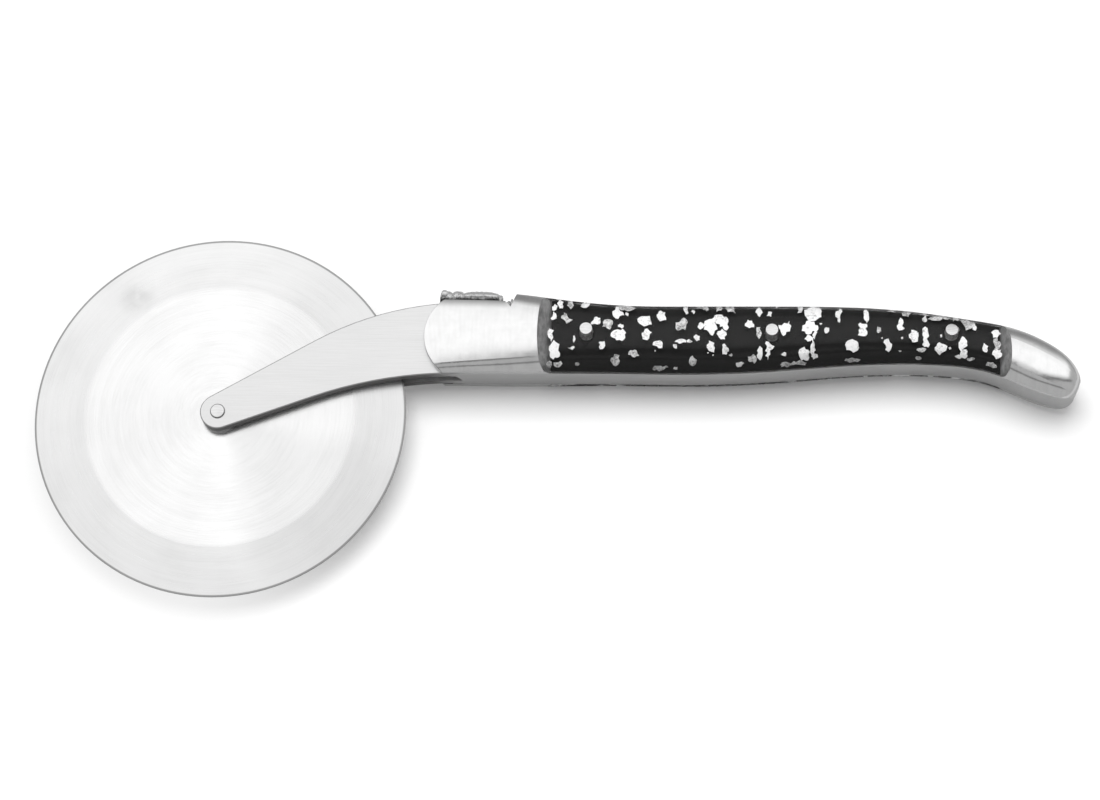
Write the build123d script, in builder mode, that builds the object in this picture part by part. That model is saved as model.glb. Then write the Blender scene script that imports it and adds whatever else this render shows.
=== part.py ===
from build123d import *
import math
import os

# Pizza cutter wheel: a thin steel disc turns on a rivet between the two arms of a fork.
# The fork's plates run on through the handle, with a spacer between them, and carry a
# steel collar, a resin scale and a steel tail cap on each face.
# The disc's centre is the origin, its axle stands along Z, the handle runs to +X and
# its spine faces +Y, as the cutter lies on a table. Lengths are in millimetres.

# Cutting disc
wheel_radius = 40.0
wheel_thickness = 1.2
wheel_bevel_width = 10.8
wheel_edge_thickness = 0.3

# Axle
rivet_radius = 1.6
rivet_proud = 0.35
rivet_edge_round = 0.25
bush_wall = 1.1
washer_thickness = 0.7
washer_radius = 3.7
axle_clearance = 0.04
side_clearance = 0.1
seat_clearance = 0.01

# Fork and liner plates
plate_thickness = 2.1
tip_radius = 3.8
arm_edge_break = 0.2
upper_arm_angle = 30
lower_arm_angle = 20
arm_bend_share = 0.46
arm_overlap = 2.0

# Handle outline
collar_stand_off = 3.6
belly_level = 8.7
handle_length = 139.4
handle_height = 17.4
handle_thickness = 14.6
slot_root_setback = 7.0
slot_root_run = 1.2

# Collar and tail cap
collar_length = 24.3
collar_nose_radius = 10.0
collar_nose_wall = 1.1
collar_nose_round = 1.5
collar_nose_rise = 2.0
tail_cap_length = 14.0
joint_run = 3.0
hidden_rivet_radius = 1.1
hidden_rivet_reach = 1.6
hidden_rivet_spread = 6.0
collar_rivet_setback = 16.5
tail_rivet_setback = 8.5
tail_rivet_lift = 1.3

# Scale pins
scale_pin_radius = 1.3

# Ornament on the spine
seat_setback = 2.8
seat_length = 14.6
seat_depth = 1.4
seat_fall = 0.6
notch_width = 2.5
notch_depth = 1.4
bee_length = 13.8
bee_width = 5.6
bee_height = 3.8
bee_base_height = 1.7
bee_base_share = 0.72
bee_tenon_radius = 0.8
bee_tenon_depth = 1.8
bee_tenon_share = 0.62

# One length by which every cut and every stretched blank overruns the solid
overrun = 4.0

# Worked out from the sizes above
bush_bore_radius = rivet_radius + axle_clearance
bush_radius = bush_bore_radius + bush_wall
slot_width = wheel_thickness + 2 * (washer_thickness + side_clearance)
slot_face = slot_width / 2
plate_face = slot_face + plate_thickness
collar_x = wheel_radius + collar_stand_off
slot_root_x = collar_x + slot_root_setback
handle_end_x = collar_x + handle_length
collar_joint_x = collar_x + collar_length
tail_joint_x = handle_end_x - tail_cap_length
half_thickness = handle_thickness / 2
joint_slope = joint_run / (half_thickness - plate_face)

# Ground sections of the handle, from the collar's nose to the tail's end. Each row holds
# shares: along the length, the centre above the belly line in heights, the local height,
# the local thickness, how much of it the flat flanks take, how far the corners run in over
# the crown, and then the tilt in degrees.
section_shares = (
    (-0.026, 0.494, 1.001, 0.644, 0.84, 0.20, 0),
    (0.017, 0.500, 1.012, 0.788, 0.82, 0.20, 0),
    (0.060, 0.503, 1.012, 0.863, 0.80, 0.23, 0),
    (0.132, 0.497, 1.005, 0.938, 0.77, 0.30, 0),
    (0.189, 0.471, 0.952, 0.979, 0.72, 0.36, 0),
    (0.290, 0.430, 0.868, 1.000, 0.65, 0.40, 0),
    (0.419, 0.418, 0.859, 1.000, 0.64, 0.40, 0),
    (0.548, 0.445, 0.814, 0.973, 0.64, 0.40, 0),
    (0.663, 0.477, 0.729, 0.938, 0.64, 0.41, 0),
    (0.749, 0.457, 0.659, 0.918, 0.65, 0.43, -4),
    (0.824, 0.391, 0.604, 0.904, 0.68, 0.46, -14),
    (0.887, 0.281, 0.618, 0.890, 0.71, 0.50, -23),
    (0.935, 0.108, 0.612, 0.863, 0.72, 0.50, -25),
    (0.967, -0.033, 0.522, 0.808, 0.73, 0.48, -25),
    (0.987, -0.133, 0.354, 0.616, 0.74, 0.44, -25),
    (0.994, -0.151, 0.192, 0.411, 0.74, 0.40, -25),
)
# The point that each corner passes through on its way from the flank to the crown, in
# parts of its run and of its rise
corner_middle_shares = (0.43, 0.62)
pin_shares = ((0.250, 0.514), (0.533, 0.506), (0.805, 0.523))

# Lobes of the ornament, as shares of its length and width: middle along, middle across,
# half length, half width. The splay is in degrees.
bee_shares = (
    (0.120, 0.00, 0.120, 0.28, 0),
    (0.315, 0.00, 0.140, 0.34, 0),
    (0.695, 0.00, 0.300, 0.25, 0),
    (0.665, 0.28, 0.305, 0.19, 5),
    (0.665, -0.28, 0.305, 0.19, -5),
)
bee_lobe_height_shares = (0.96, 1.0, 0.97, 0.88, 0.88)


def section_outline(half_height, half_width, fullness, corner_share):
    """One section of the handle: flat flanks, soft corners and a crown on each face."""
    flank = fullness * half_width
    inset = corner_share * half_height
    rise = math.sqrt(corner_share * (2 - corner_share)) * (half_width - flank)
    crest = (half_height - inset, flank + rise)
    corner = (half_height - corner_middle_shares[0] * inset, flank + corner_middle_shares[1] * rise)
    with BuildSketch() as section:
        with BuildLine():
            Line((half_height, -flank), (half_height, flank))
            ThreePointArc((half_height, flank), corner, crest)
            ThreePointArc(crest, (0, half_width), (-crest[0], crest[1]))
            ThreePointArc((-crest[0], crest[1]), (-corner[0], corner[1]), (-half_height, flank))
            Line((-half_height, flank), (-half_height, -flank))
            ThreePointArc((-half_height, -flank), (-corner[0], -corner[1]), (-crest[0], -crest[1]))
            ThreePointArc((-crest[0], -crest[1]), (0, -half_width), (crest[0], -crest[1]))
            ThreePointArc((crest[0], -crest[1]), (corner[0], -corner[1]), (half_height, -flank))
        make_face()
    return section.sketch


# The handle as it is ground in one go: every piece in it is a slice of this blank
with BuildPart() as handle_blank:
    for along, centre, height, thickness, fullness, corner_share, tilt in section_shares:
        middle = (collar_x + along * handle_length, belly_level + centre * handle_height, 0)
        across = Vector(0, 1, 0).rotate(Axis.Z, tilt)
        forward = Vector(1, 0, 0).rotate(Axis.Z, tilt)
        with BuildSketch(Plane(origin=middle, x_dir=across, z_dir=forward)):
            add(
                section_outline(
                    height * handle_height / 2, thickness * half_thickness, fullness, corner_share
                )
            )
    loft()

os.makedirs("parts", exist_ok=True)


def finish(builder, label):
    """Labels a finished piece and writes it to its own file."""
    builder.part.label = label
    export_step(builder.part, "parts/" + label + ".step")


def mirrored(builder):
    """The twin of a front piece on the back of the cutter."""
    with BuildPart() as twin:
        add(builder.part)
        mirror(about=Plane.XY, mode=Mode.REPLACE)
    return twin


def handle_slice(*corners):
    """What lies of the handle blank within an outline of (x, z) corners."""
    with BuildPart() as piece:
        add(handle_blank.part)
        with BuildSketch(Plane.XZ):
            with BuildLine():
                Polyline(*corners, close=True)
            make_face()
        extrude(amount=2 * handle_height, both=True, mode=Mode.INTERSECT)
    return piece.part


# Disc: flat in the middle and ground to a thin rim from both faces
with BuildPart() as cutting_wheel:
    with BuildSketch(Plane.XZ):
        with BuildLine():
            Polyline(
                (bush_radius + seat_clearance, -wheel_thickness / 2),
                (wheel_radius - wheel_bevel_width, -wheel_thickness / 2),
                (wheel_radius, -wheel_edge_thickness / 2),
                (wheel_radius, wheel_edge_thickness / 2),
                (wheel_radius - wheel_bevel_width, wheel_thickness / 2),
                (bush_radius + seat_clearance, wheel_thickness / 2),
                close=True,
            )
        make_face()
    revolve(axis=Axis.Z)
finish(cutting_wheel, "cutting_wheel")

# Bush pressed into the disc, which runs on the rivet
with BuildPart() as wheel_bush:
    with BuildSketch(Plane.XY.offset(-wheel_thickness / 2)):
        Circle(bush_radius)
        Circle(bush_bore_radius, mode=Mode.SUBTRACT)
    extrude(amount=wheel_thickness)
finish(wheel_bush, "wheel_bush")

# Washer between the disc and each arm
with BuildPart() as front_washer:
    with BuildSketch(Plane.XY.offset(slot_face - washer_thickness)):
        Circle(washer_radius)
        Circle(rivet_radius + seat_clearance, mode=Mode.SUBTRACT)
    extrude(amount=washer_thickness)
finish(front_washer, "front_washer")
back_washer = mirrored(front_washer)
finish(back_washer, "back_washer")

# Rivet through both arms, closed with a low rounded head at each end
with BuildPart() as axle_rivet:
    with BuildSketch(Plane.XY.offset(-plate_face - rivet_proud)):
        Circle(rivet_radius)
    extrude(amount=2 * (plate_face + rivet_proud))
    fillet(edges().filter_by(GeomType.CIRCLE), radius=rivet_edge_round)
finish(axle_rivet, "axle_rivet")

# Recess in the spine for the ornament, ending in a filed notch
seat_x = collar_x + seat_setback
seat_y = belly_level + handle_height - seat_depth
seat_end_x = seat_x + seat_length
seat_end_y = seat_y - seat_fall
recess_top = belly_level + handle_height + overrun
with BuildPart() as spine_recess:
    with BuildSketch():
        with BuildLine():
            Polyline(
                (seat_x - overrun, seat_y + overrun * seat_fall / seat_length),
                (seat_end_x, seat_end_y),
                (seat_end_x + notch_width / 2, seat_end_y - notch_depth),
                (seat_end_x + notch_width, seat_y + seat_depth),
                (seat_end_x + notch_width, recess_top),
                (seat_x - overrun, recess_top),
                close=True,
            )
        make_face()
    extrude(amount=handle_thickness, both=True)

# Places of the fixings in the handle
scale_pin_places = [
    (collar_x + along * handle_length, belly_level + up * handle_height) for along, up in pin_shares
]
collar_middle = (belly_level + seat_y) / 2
collar_rivet_places = [
    (collar_x + collar_rivet_setback, collar_middle + side * hidden_rivet_spread / 2) for side in (-1, 1)
]
tail_rivet_place = (handle_end_x - tail_rivet_setback, belly_level + tail_rivet_lift)
hidden_rivet_places = collar_rivet_places + [tail_rivet_place]

# Outline of one arm: a round tip, then edges that run straight and bend into the handle
tip_top = Vector(tip_radius, 0, 0).rotate(Axis.Z, 90 + upper_arm_angle)
tip_bottom = Vector(tip_radius, 0, 0).rotate(Axis.Z, lower_arm_angle - 90)
bend_x = arm_bend_share * collar_x
upper_bend_y = tip_top.Y + (bend_x - tip_top.X) * math.tan(math.radians(upper_arm_angle))
lower_bend_y = tip_bottom.Y + (bend_x - tip_bottom.X) * math.tan(math.radians(lower_arm_angle))
upper_end = (slot_root_x - arm_overlap / 2, seat_y)
lower_end = (slot_root_x + arm_overlap / 2, belly_level)

# Arm and liner in one plate
with BuildPart() as front_fork_plate:
    with BuildSketch(Plane.XY.offset(slot_face)):
        with BuildLine():
            ThreePointArc(tip_top, (-tip_radius, 0), tip_bottom)
            lower_edge = Line(tip_bottom, (bend_x, lower_bend_y))
            TangentArc(lower_edge @ 1, lower_end, tangent=lower_edge % 1)
            Line(lower_end, upper_end)
            upper_edge = Line(tip_top, (bend_x, upper_bend_y))
            TangentArc(upper_edge @ 1, upper_end, tangent=upper_edge % 1)
        make_face()
    extrude(amount=plate_thickness)
    chamfer(faces().sort_by(Axis.Z)[-1].edges(), length=arm_edge_break)
    add(
        handle_slice(
            (slot_root_x - arm_overlap / 2, slot_face),
            (handle_end_x + overrun, slot_face),
            (handle_end_x + overrun, plate_face),
            (slot_root_x - arm_overlap / 2, plate_face),
        )
    )
    add(spine_recess.part, mode=Mode.SUBTRACT)
    Hole(rivet_radius + seat_clearance)
    with Locations(*scale_pin_places):
        Hole(scale_pin_radius + seat_clearance)
    with Locations(*hidden_rivet_places):
        Hole(hidden_rivet_radius + seat_clearance)
finish(front_fork_plate, "front_fork_plate")
back_fork_plate = mirrored(front_fork_plate)
finish(back_fork_plate, "back_fork_plate")

# Spacer between the plates, from the root of the wheel slot to the tail
seat_plane = Plane(
    origin=(seat_x, seat_y, 0),
    x_dir=(seat_length, -seat_fall, 0),
    z_dir=(seat_fall, seat_length, 0),
)
with BuildPart() as handle_spacer:
    add(
        handle_slice(
            (slot_root_x + slot_root_run, -slot_face),
            (handle_end_x + overrun, -slot_face),
            (handle_end_x + overrun, slot_face),
            (slot_root_x, slot_face),
        )
    )
    add(spine_recess.part, mode=Mode.SUBTRACT)
    with Locations(*scale_pin_places):
        Hole(scale_pin_radius + seat_clearance)
    with Locations(*hidden_rivet_places):
        Hole(hidden_rivet_radius + seat_clearance)
    with BuildSketch(seat_plane):
        with Locations((bee_tenon_share * bee_length, 0)):
            Circle(bee_tenon_radius + seat_clearance)
    extrude(amount=-bee_tenon_depth - side_clearance, mode=Mode.SUBTRACT)
finish(handle_spacer, "handle_spacer")

# Rounded front of a collar: a drum whose edge rolls over into a shallow cone
nose_x = collar_x + collar_nose_radius
nose_wall_top = plate_face + collar_nose_wall
nose_round_top = nose_wall_top + collar_nose_round
with BuildPart() as collar_envelope:
    with BuildSketch(Plane(origin=(nose_x, collar_middle, 0), x_dir=(1, 0, 0), z_dir=(0, -1, 0))):
        with BuildLine():
            Line((0, plate_face), (collar_nose_radius, plate_face))
            Line((collar_nose_radius, plate_face), (collar_nose_radius, nose_wall_top))
            RadiusArc(
                (collar_nose_radius, nose_wall_top),
                (collar_nose_radius - collar_nose_round, nose_round_top),
                -collar_nose_round,
            )
            Line(
                (collar_nose_radius - collar_nose_round, nose_round_top),
                (0, nose_round_top + collar_nose_rise),
            )
            Line((0, nose_round_top + collar_nose_rise), (0, plate_face))
        make_face()
    revolve(axis=Axis((nose_x, collar_middle, 0), (0, 0, 1)))
    with BuildSketch(Plane.XY.offset(plate_face)):
        with Locations((nose_x, collar_middle)):
            Rectangle(handle_length, 2 * handle_height, align=(Align.MIN, Align.CENTER))
    extrude(amount=handle_thickness)

# Collar on the front face, whose end wall slopes under the scale
ceiling = half_thickness + overrun
with BuildPart() as front_collar:
    add(
        handle_slice(
            (collar_x - overrun, plate_face),
            (collar_joint_x + joint_run, plate_face),
            (collar_joint_x - overrun * joint_slope, ceiling),
            (collar_x - overrun, ceiling),
        )
    )
    add(collar_envelope.part, mode=Mode.INTERSECT)
    add(spine_recess.part, mode=Mode.SUBTRACT)
    with BuildSketch(Plane.XY.offset(plate_face)):
        with Locations(*collar_rivet_places):
            Circle(hidden_rivet_radius + seat_clearance)
    extrude(amount=hidden_rivet_reach + side_clearance, mode=Mode.SUBTRACT)
finish(front_collar, "front_collar")
back_collar = mirrored(front_collar)
finish(back_collar, "back_collar")

# Resin scale, held between the sloping end walls of collar and tail cap
with BuildPart() as front_scale:
    add(
        handle_slice(
            (collar_joint_x + joint_run, plate_face),
            (tail_joint_x - joint_run, plate_face),
            (tail_joint_x + overrun * joint_slope, ceiling),
            (collar_joint_x - overrun * joint_slope, ceiling),
        )
    )
    with Locations(*scale_pin_places):
        Hole(scale_pin_radius + seat_clearance)
finish(front_scale, "front_scale")
back_scale = mirrored(front_scale)
finish(back_scale, "back_scale")

# Tail cap on the front face
with BuildPart() as front_tail_cap:
    add(
        handle_slice(
            (tail_joint_x - joint_run, plate_face),
            (handle_end_x + overrun, plate_face),
            (handle_end_x + overrun, ceiling),
            (tail_joint_x + overrun * joint_slope, ceiling),
        )
    )
    with BuildSketch(Plane.XY.offset(plate_face)):
        with Locations(tail_rivet_place):
            Circle(hidden_rivet_radius + seat_clearance)
    extrude(amount=hidden_rivet_reach + side_clearance, mode=Mode.SUBTRACT)
finish(front_tail_cap, "front_tail_cap")
back_tail_cap = mirrored(front_tail_cap)
finish(back_tail_cap, "back_tail_cap")

# Pins through both scales, ground flush with them
for pin_name, pin_place in zip(("fore", "middle", "aft"), scale_pin_places):
    with BuildPart() as scale_pin:
        add(handle_blank.part)
        with BuildSketch():
            with Locations(pin_place):
                Circle(scale_pin_radius)
        extrude(amount=handle_thickness, both=True, mode=Mode.INTERSECT)
    finish(scale_pin, pin_name + "_scale_pin")

# Blind rivets that hold the collars and the tail caps
for rivet_name, rivet_place in zip(("lower_collar", "upper_collar", "tail"), hidden_rivet_places):
    with BuildPart() as hidden_rivet:
        with BuildSketch():
            with Locations(rivet_place):
                Circle(hidden_rivet_radius)
        extrude(amount=plate_face + hidden_rivet_reach, both=True)
    finish(hidden_rivet, rivet_name + "_rivet")


def bee_lobe(along, across, half_length, half_width, splay, height):
    """One egg-shaped lobe of the ornament, lying along its seat."""
    lobe_plane = Plane(
        origin=seat_plane.from_local_coords((along, across, height - half_width)),
        x_dir=seat_plane.x_dir.rotate(Axis((0, 0, 0), seat_plane.z_dir), splay),
        z_dir=seat_plane.z_dir,
    )
    with BuildPart() as lobe:
        with BuildSketch(lobe_plane):
            with BuildLine():
                EllipticalCenterArc((0, 0), half_length, half_width, start_angle=0, arc_size=180)
                Line((-half_length, 0), (half_length, 0))
            make_face()
        revolve(axis=Axis(lobe_plane.origin, lobe_plane.x_dir))
    return lobe.part


# Ornament seated in the spine: head, body, tail and two folded wings on a narrow base
with BuildPart() as spine_bee:
    with BuildSketch(seat_plane):
        with Locations((bee_length / 2, 0)):
            SlotOverall(bee_length, bee_width * bee_base_share)
    extrude(amount=bee_base_height)
    for shares, height_share in zip(bee_shares, bee_lobe_height_shares):
        add(
            bee_lobe(
                shares[0] * bee_length,
                shares[1] * bee_width,
                shares[2] * bee_length,
                shares[3] * bee_width,
                shares[4],
                height_share * bee_height,
            )
        )
    split(bisect_by=seat_plane, keep=Keep.TOP)
    with BuildSketch(seat_plane):
        with Locations((bee_tenon_share * bee_length, 0)):
            Circle(bee_tenon_radius)
    extrude(amount=-bee_tenon_depth)
finish(spine_bee, "spine_bee")
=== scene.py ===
# %% [markdown]
# # A pizza cutter, from its steel disc to the silver leaf in its handle
#
# The cutter lies on a white table: a thin steel disc turns between the two arms of a fork,
# and the fork runs on through a handle with steel collars, resin scales and steel tail caps.
# The fixed frame brings every steel piece at its true size. This script gives each piece its
# finish, and builds what the frame holds only as a plain solid: the resin scales, whose
# silver leaf floats in clear resin over a dark core, and the cast bee on the spine.

# %% The fixed frame
import math
import random

import bmesh
import bpy
from mathutils import Matrix, Vector
from mathutils.bvhtree import BVHTree


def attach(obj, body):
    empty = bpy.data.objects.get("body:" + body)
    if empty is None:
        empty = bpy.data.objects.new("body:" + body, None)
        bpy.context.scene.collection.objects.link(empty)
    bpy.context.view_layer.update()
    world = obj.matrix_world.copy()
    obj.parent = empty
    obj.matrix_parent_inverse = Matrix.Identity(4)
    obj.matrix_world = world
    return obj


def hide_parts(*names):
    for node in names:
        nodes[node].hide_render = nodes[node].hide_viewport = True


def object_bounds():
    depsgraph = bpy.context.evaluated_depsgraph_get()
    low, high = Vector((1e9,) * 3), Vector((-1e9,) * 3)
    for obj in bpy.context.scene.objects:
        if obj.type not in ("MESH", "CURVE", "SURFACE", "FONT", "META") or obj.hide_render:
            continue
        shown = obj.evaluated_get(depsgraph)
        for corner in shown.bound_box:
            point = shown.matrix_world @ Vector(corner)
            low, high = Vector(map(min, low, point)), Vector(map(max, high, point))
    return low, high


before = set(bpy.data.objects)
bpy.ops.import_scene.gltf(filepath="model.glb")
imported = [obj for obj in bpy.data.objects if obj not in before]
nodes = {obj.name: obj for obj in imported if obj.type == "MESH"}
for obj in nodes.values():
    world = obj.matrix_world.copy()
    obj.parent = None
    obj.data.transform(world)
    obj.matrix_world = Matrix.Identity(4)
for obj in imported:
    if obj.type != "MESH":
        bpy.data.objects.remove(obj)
cad_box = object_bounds()
print("nodes in the frame:", len(nodes))

# %% [markdown]
# A photograph is matched best with the lens first. The camera stands nearly over the cutter
# and a little to the belly side, so the near flank of the handle shows and the spine hides.
# Its place and its turn were found once, by laying the disc's rim over the oval in the
# photograph. The picture's size is a pair of named values, because pieces further down are
# placed by their pixels.

# %% Camera at the photograph's angle
MM = 0.001
PICTURE = (1100, 800)
PICTURE_MIDDLE = (PICTURE[0] / 2, PICTURE[1] / 2)
FOCAL_PIXELS = 3300
SENSOR_WIDTH = 36
NEAREST_SEEN = 10 * MM
CAMERA_PLACE = Vector((113.0, -212.4, 668.4)) * MM
CAMERA_RIGHT = Vector((0.998, 0.022, -0.056)).normalized()
CAMERA_BACK = CAMERA_RIGHT.cross(Vector((-0.004, 0.951, 0.308))).normalized()
CAMERA_UP = CAMERA_BACK.cross(CAMERA_RIGHT)

camera = bpy.data.objects.new("camera", bpy.data.cameras.new("camera"))
bpy.context.scene.collection.objects.link(camera)
turn = Matrix((CAMERA_RIGHT, CAMERA_UP, CAMERA_BACK)).transposed().to_4x4()
camera.matrix_world = Matrix.Translation(CAMERA_PLACE) @ turn
camera.data.sensor_width = SENSOR_WIDTH
camera.data.lens = SENSOR_WIDTH * FOCAL_PIXELS / PICTURE[0]
camera.data.clip_start = NEAREST_SEEN
bpy.context.scene.camera = camera
print("camera", [round(v, 3) for v in camera.location], "lens", round(camera.data.lens), "mm")


def pixel_ray(across, down):
    """Direction in which the camera sees one pixel of the photograph."""
    right = (across - PICTURE_MIDDLE[0]) / FOCAL_PIXELS
    up = (PICTURE_MIDDLE[1] - down) / FOCAL_PIXELS
    return (CAMERA_RIGHT * right + CAMERA_UP * up - CAMERA_BACK).normalized()


def pixel_on_level(across, down, level):
    """Where that pixel's line of sight meets a level plane."""
    ray = pixel_ray(across, down)
    return CAMERA_PLACE + ray * ((level - CAMERA_PLACE.z) / ray.z)


def span(low, high):
    """Two lengths in millimetres, turned into metres."""
    return low * MM, high * MM


# %% [markdown]
# Shaders are easier to read as sums than as wires. One small class holds a socket, and the
# operators on it add Math nodes. A float plus a socket needs the reflected form, so that
# `1 - mask` works too. Colours and vectors go through Mix and Vector Math. Every other node
# comes from one method: its settings first, then what goes into its sockets.

# %% Shader sums as Python expressions
class Wire:
    """One output socket, with arithmetic that adds Math nodes behind it."""

    def __init__(self, tree, socket):
        self.tree = tree
        self.socket = socket

    def node(self, kind, settings=None, out=0, **sockets):
        """Any node in the same tree, by type, settings and sockets."""
        return add_node(self.tree, kind, settings, out, **sockets)

    def math(self, operation, first, second):
        node = self.tree.nodes.new("ShaderNodeMath")
        node.operation = operation
        for socket, value in zip(node.inputs, (first, second)):
            plug(self.tree, socket, value)
        return Wire(self.tree, node.outputs[0])

    def __add__(self, other):
        return self.math("ADD", self, other)

    def __sub__(self, other):
        return self.math("SUBTRACT", self, other)

    def __rsub__(self, other):
        return self.math("SUBTRACT", other, self)

    def __mul__(self, other):
        return self.math("MULTIPLY", self, other)

    __radd__ = __add__
    __rmul__ = __mul__

    def most(self, other):
        return self.math("MAXIMUM", self, other)

    def step(self, low, high):
        """A soft step from 0 to 1 as the value goes from low to high."""
        smooth = {"interpolation_type": "SMOOTHSTEP"}
        return self.node("ShaderNodeMapRange", smooth, Value=self, From_Min=low, From_Max=high)

    def vector(self, operation, other=None, out=0, **sockets):
        """Vector Math on a vector socket."""
        if other is not None:
            sockets["Vector_001"] = other
        settings = {"operation": operation}
        return self.node("ShaderNodeVectorMath", settings, out, Vector=self, **sockets)

    def axes(self):
        """The three numbers of a vector socket."""
        parts = self.node("ShaderNodeSeparateXYZ", Vector=self).socket.node
        return [Wire(self.tree, socket) for socket in parts.outputs]


def plug(tree, socket, value):
    """Links a wire to a socket, or types a value into it."""
    if isinstance(value, Wire):
        tree.links.new(value.socket, socket)
    else:
        socket.default_value = value


def add_node(tree, kind, settings=None, out=0, **sockets):
    """Any node: settings are set first, and an underscore in a socket's name is a space."""
    node = tree.nodes.new(kind)
    for name, value in (settings or {}).items():
        setattr(node, name, value)
    for name, value in sockets.items():
        names = (name, name.replace("_", " "))
        usable = [s for s in node.inputs if s.enabled]
        plug(tree, next(s for s in usable if s.identifier in names or s.name in names), value)
    return Wire(tree, node.outputs[out])


print("shader sums are ready")

# %% [markdown]
# Each finish starts as a new material with one Principled shader. What is the same all
# over is typed into the shader's own sockets, and only what changes over the surface is
# wired in. A CAD piece carries its place in its mesh, so its object coordinates are true
# metres, and a brush line of a tenth of a millimetre can be written as such.

# %% Materials and small helpers for them
def grey(value):
    """A colour without a tint."""
    return (value, value, value, 1)


def new_material(name, **values):
    """A material with its Principled shader, and a wire with places on the piece in metres."""
    material = bpy.data.materials.new(name)
    material.use_nodes = True
    shader = material.node_tree.nodes["Principled BSDF"]
    for key, value in values.items():
        shader.inputs[key.replace("_", " ")].default_value = value
    place = add_node(material.node_tree, "ShaderNodeTexCoord", out="Object")
    return material, shader, place


def feed(shader, **wires):
    """Links wires to sockets of the shader."""
    for key, wire in wires.items():
        wire.tree.links.new(wire.socket, shader.inputs[key.replace("_", " ")])


def mixed(mask, dark, light):
    """A colour that goes from dark to light with the mask."""
    colours = {"data_type": "RGBA"}
    return mask.node("ShaderNodeMix", colours, out=2, Factor=mask, A=dark, B=light)


def greys(mask, dark, light):
    """The same between two greys."""
    return mixed(mask, grey(dark), grey(light))


def grain(place, scale, detail=2.0, roughness=0.5):
    """Soft noise between 0 and 1, in cells per metre: one number, or one for each axis."""
    if isinstance(scale, tuple):
        place = place.vector("MULTIPLY", scale)
        scale = 1.0
    return place.node(
        "ShaderNodeTexNoise", Vector=place, Scale=scale, Detail=detail, Roughness=roughness
    )


def relief(height, depth):
    """Small relief for the shader's normal, with its depth in metres."""
    return height.node("ShaderNodeBump", Height=height, Distance=depth)


def wear(material, *names):
    """Puts a finish on nodes of the frame."""
    for name in names:
        nodes[name].data.materials.clear()
        nodes[name].data.materials.append(material)
        print(name, "wears", material.name)


def mesh_piece(name, bm, material, smooth=True):
    """A new object from a bmesh."""
    mesh = bpy.data.meshes.new(name)
    bm.to_mesh(mesh)
    bm.free()
    for face in mesh.polygons:
        face.use_smooth = smooth
    mesh.materials.append(material)
    piece = bpy.data.objects.new(name, mesh)
    bpy.context.scene.collection.objects.link(piece)
    return piece


def skin_rings(bm, rings):
    """Faces between rings of points that have the same count, each ring to the next."""
    for one, two in zip(rings, rings[1:]):
        for step in range(len(one)):
            after = (step + 1) % len(one)
            bm.faces.new((one[step], one[after], two[after], two[step]))


# %% [markdown]
# A bright tool on white paper is lit by what surrounds it more than by lamps. Steel shows
# its surroundings, so the room here is painted as a sky that depends on direction. A broad
# soft box hangs overhead on the spine side, with a sharp edge toward the belly and a long
# fade toward the spine. The rest is grey, and darker low on the spine side. Two dark strips
# in it give the two dark lines that run along each crown's edge. The camera itself sees
# plain white in place of the room, so a low view has a white horizon.

# %% The room, painted by direction
BOX_LIGHT = 1.12
ROOM_LIGHT = 0.44
SPINE_LIGHT = 0.26
# Ranges of a direction's north, east or up part, over which the light changes
BOX_EDGE = (0.0, 0.16)
BOX_FADE = (0.42, 0.90)
BOX_ENDS = (0.40, 0.72)
BOX_RISE = (0.10, 0.40)
SPINE_DARKENS = (0.72, 0.97)
# Middle, half width and light of each dark strip
STRIPS = ((-0.015, 0.052, 0.10), (-0.42, 0.075, 0.18))
STRIP_CORE = 0.1
STRIP_RISE = (0.30, 0.60)

world = bpy.data.worlds.new("studio")
world.use_nodes = True
bpy.context.scene.world = world
background = world.node_tree.nodes["Background"]
toward = add_node(world.node_tree, "ShaderNodeTexCoord", out="Generated")
east, north, up = toward.axes()
box = north.step(*BOX_EDGE) * (1 - north.step(*BOX_FADE)) * (1 - (east * east).step(*BOX_ENDS))
box = box * up.step(*BOX_RISE)
light = ROOM_LIGHT + (SPINE_LIGHT - ROOM_LIGHT) * north.step(*SPINE_DARKENS)
light = light + (BOX_LIGHT - ROOM_LIGHT) * box
for middle, half, strip_light in STRIPS:
    off = north - middle
    strip = 1 - (off * off).step(STRIP_CORE * half * half, half * half)
    strip = strip * up.step(*STRIP_RISE)
    light = light + (strip_light - ROOM_LIGHT) * strip * (1 - box)
to_camera = add_node(world.node_tree, "ShaderNodeLightPath", out="Is Camera Ray")
light = light + (1 - light) * to_camera
world.node_tree.links.new(light.socket, background.inputs["Color"])
bpy.context.scene.view_settings.view_transform = "Standard"
print("the room's light runs from", STRIPS[0][2], "to", BOX_LIGHT)

# %% [markdown]
# The box overhead is too bright to show in a mirror without clipping, so its strength is
# split. The painted room gives what the steel shows. One wide lamp in the same place, which
# no reflection sees, adds the rest of the light and makes the shadow short and soft.

# %% One wide lamp in the box's place
LAMP_PLACE = Vector((60, 230, 760)) * MM
LAMP_AIM = Vector((70, 10, 0)) * MM
LAMP_SIZE = (640 * MM, 520 * MM)
LAMP_WATTS = 4.6

lamp = bpy.data.objects.new("soft_lamp", bpy.data.lights.new("soft_lamp", "AREA"))
lamp.data.shape = "RECTANGLE"
lamp.data.size, lamp.data.size_y = LAMP_SIZE
lamp.data.energy = LAMP_WATTS
lamp.location = LAMP_PLACE
lamp.rotation_euler = (LAMP_AIM - LAMP_PLACE).to_track_quat("-Z", "Y").to_euler()
lamp.visible_glossy = False
bpy.context.scene.collection.objects.link(lamp)
print("lamp at", [round(v, 2) for v in lamp.location])

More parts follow.
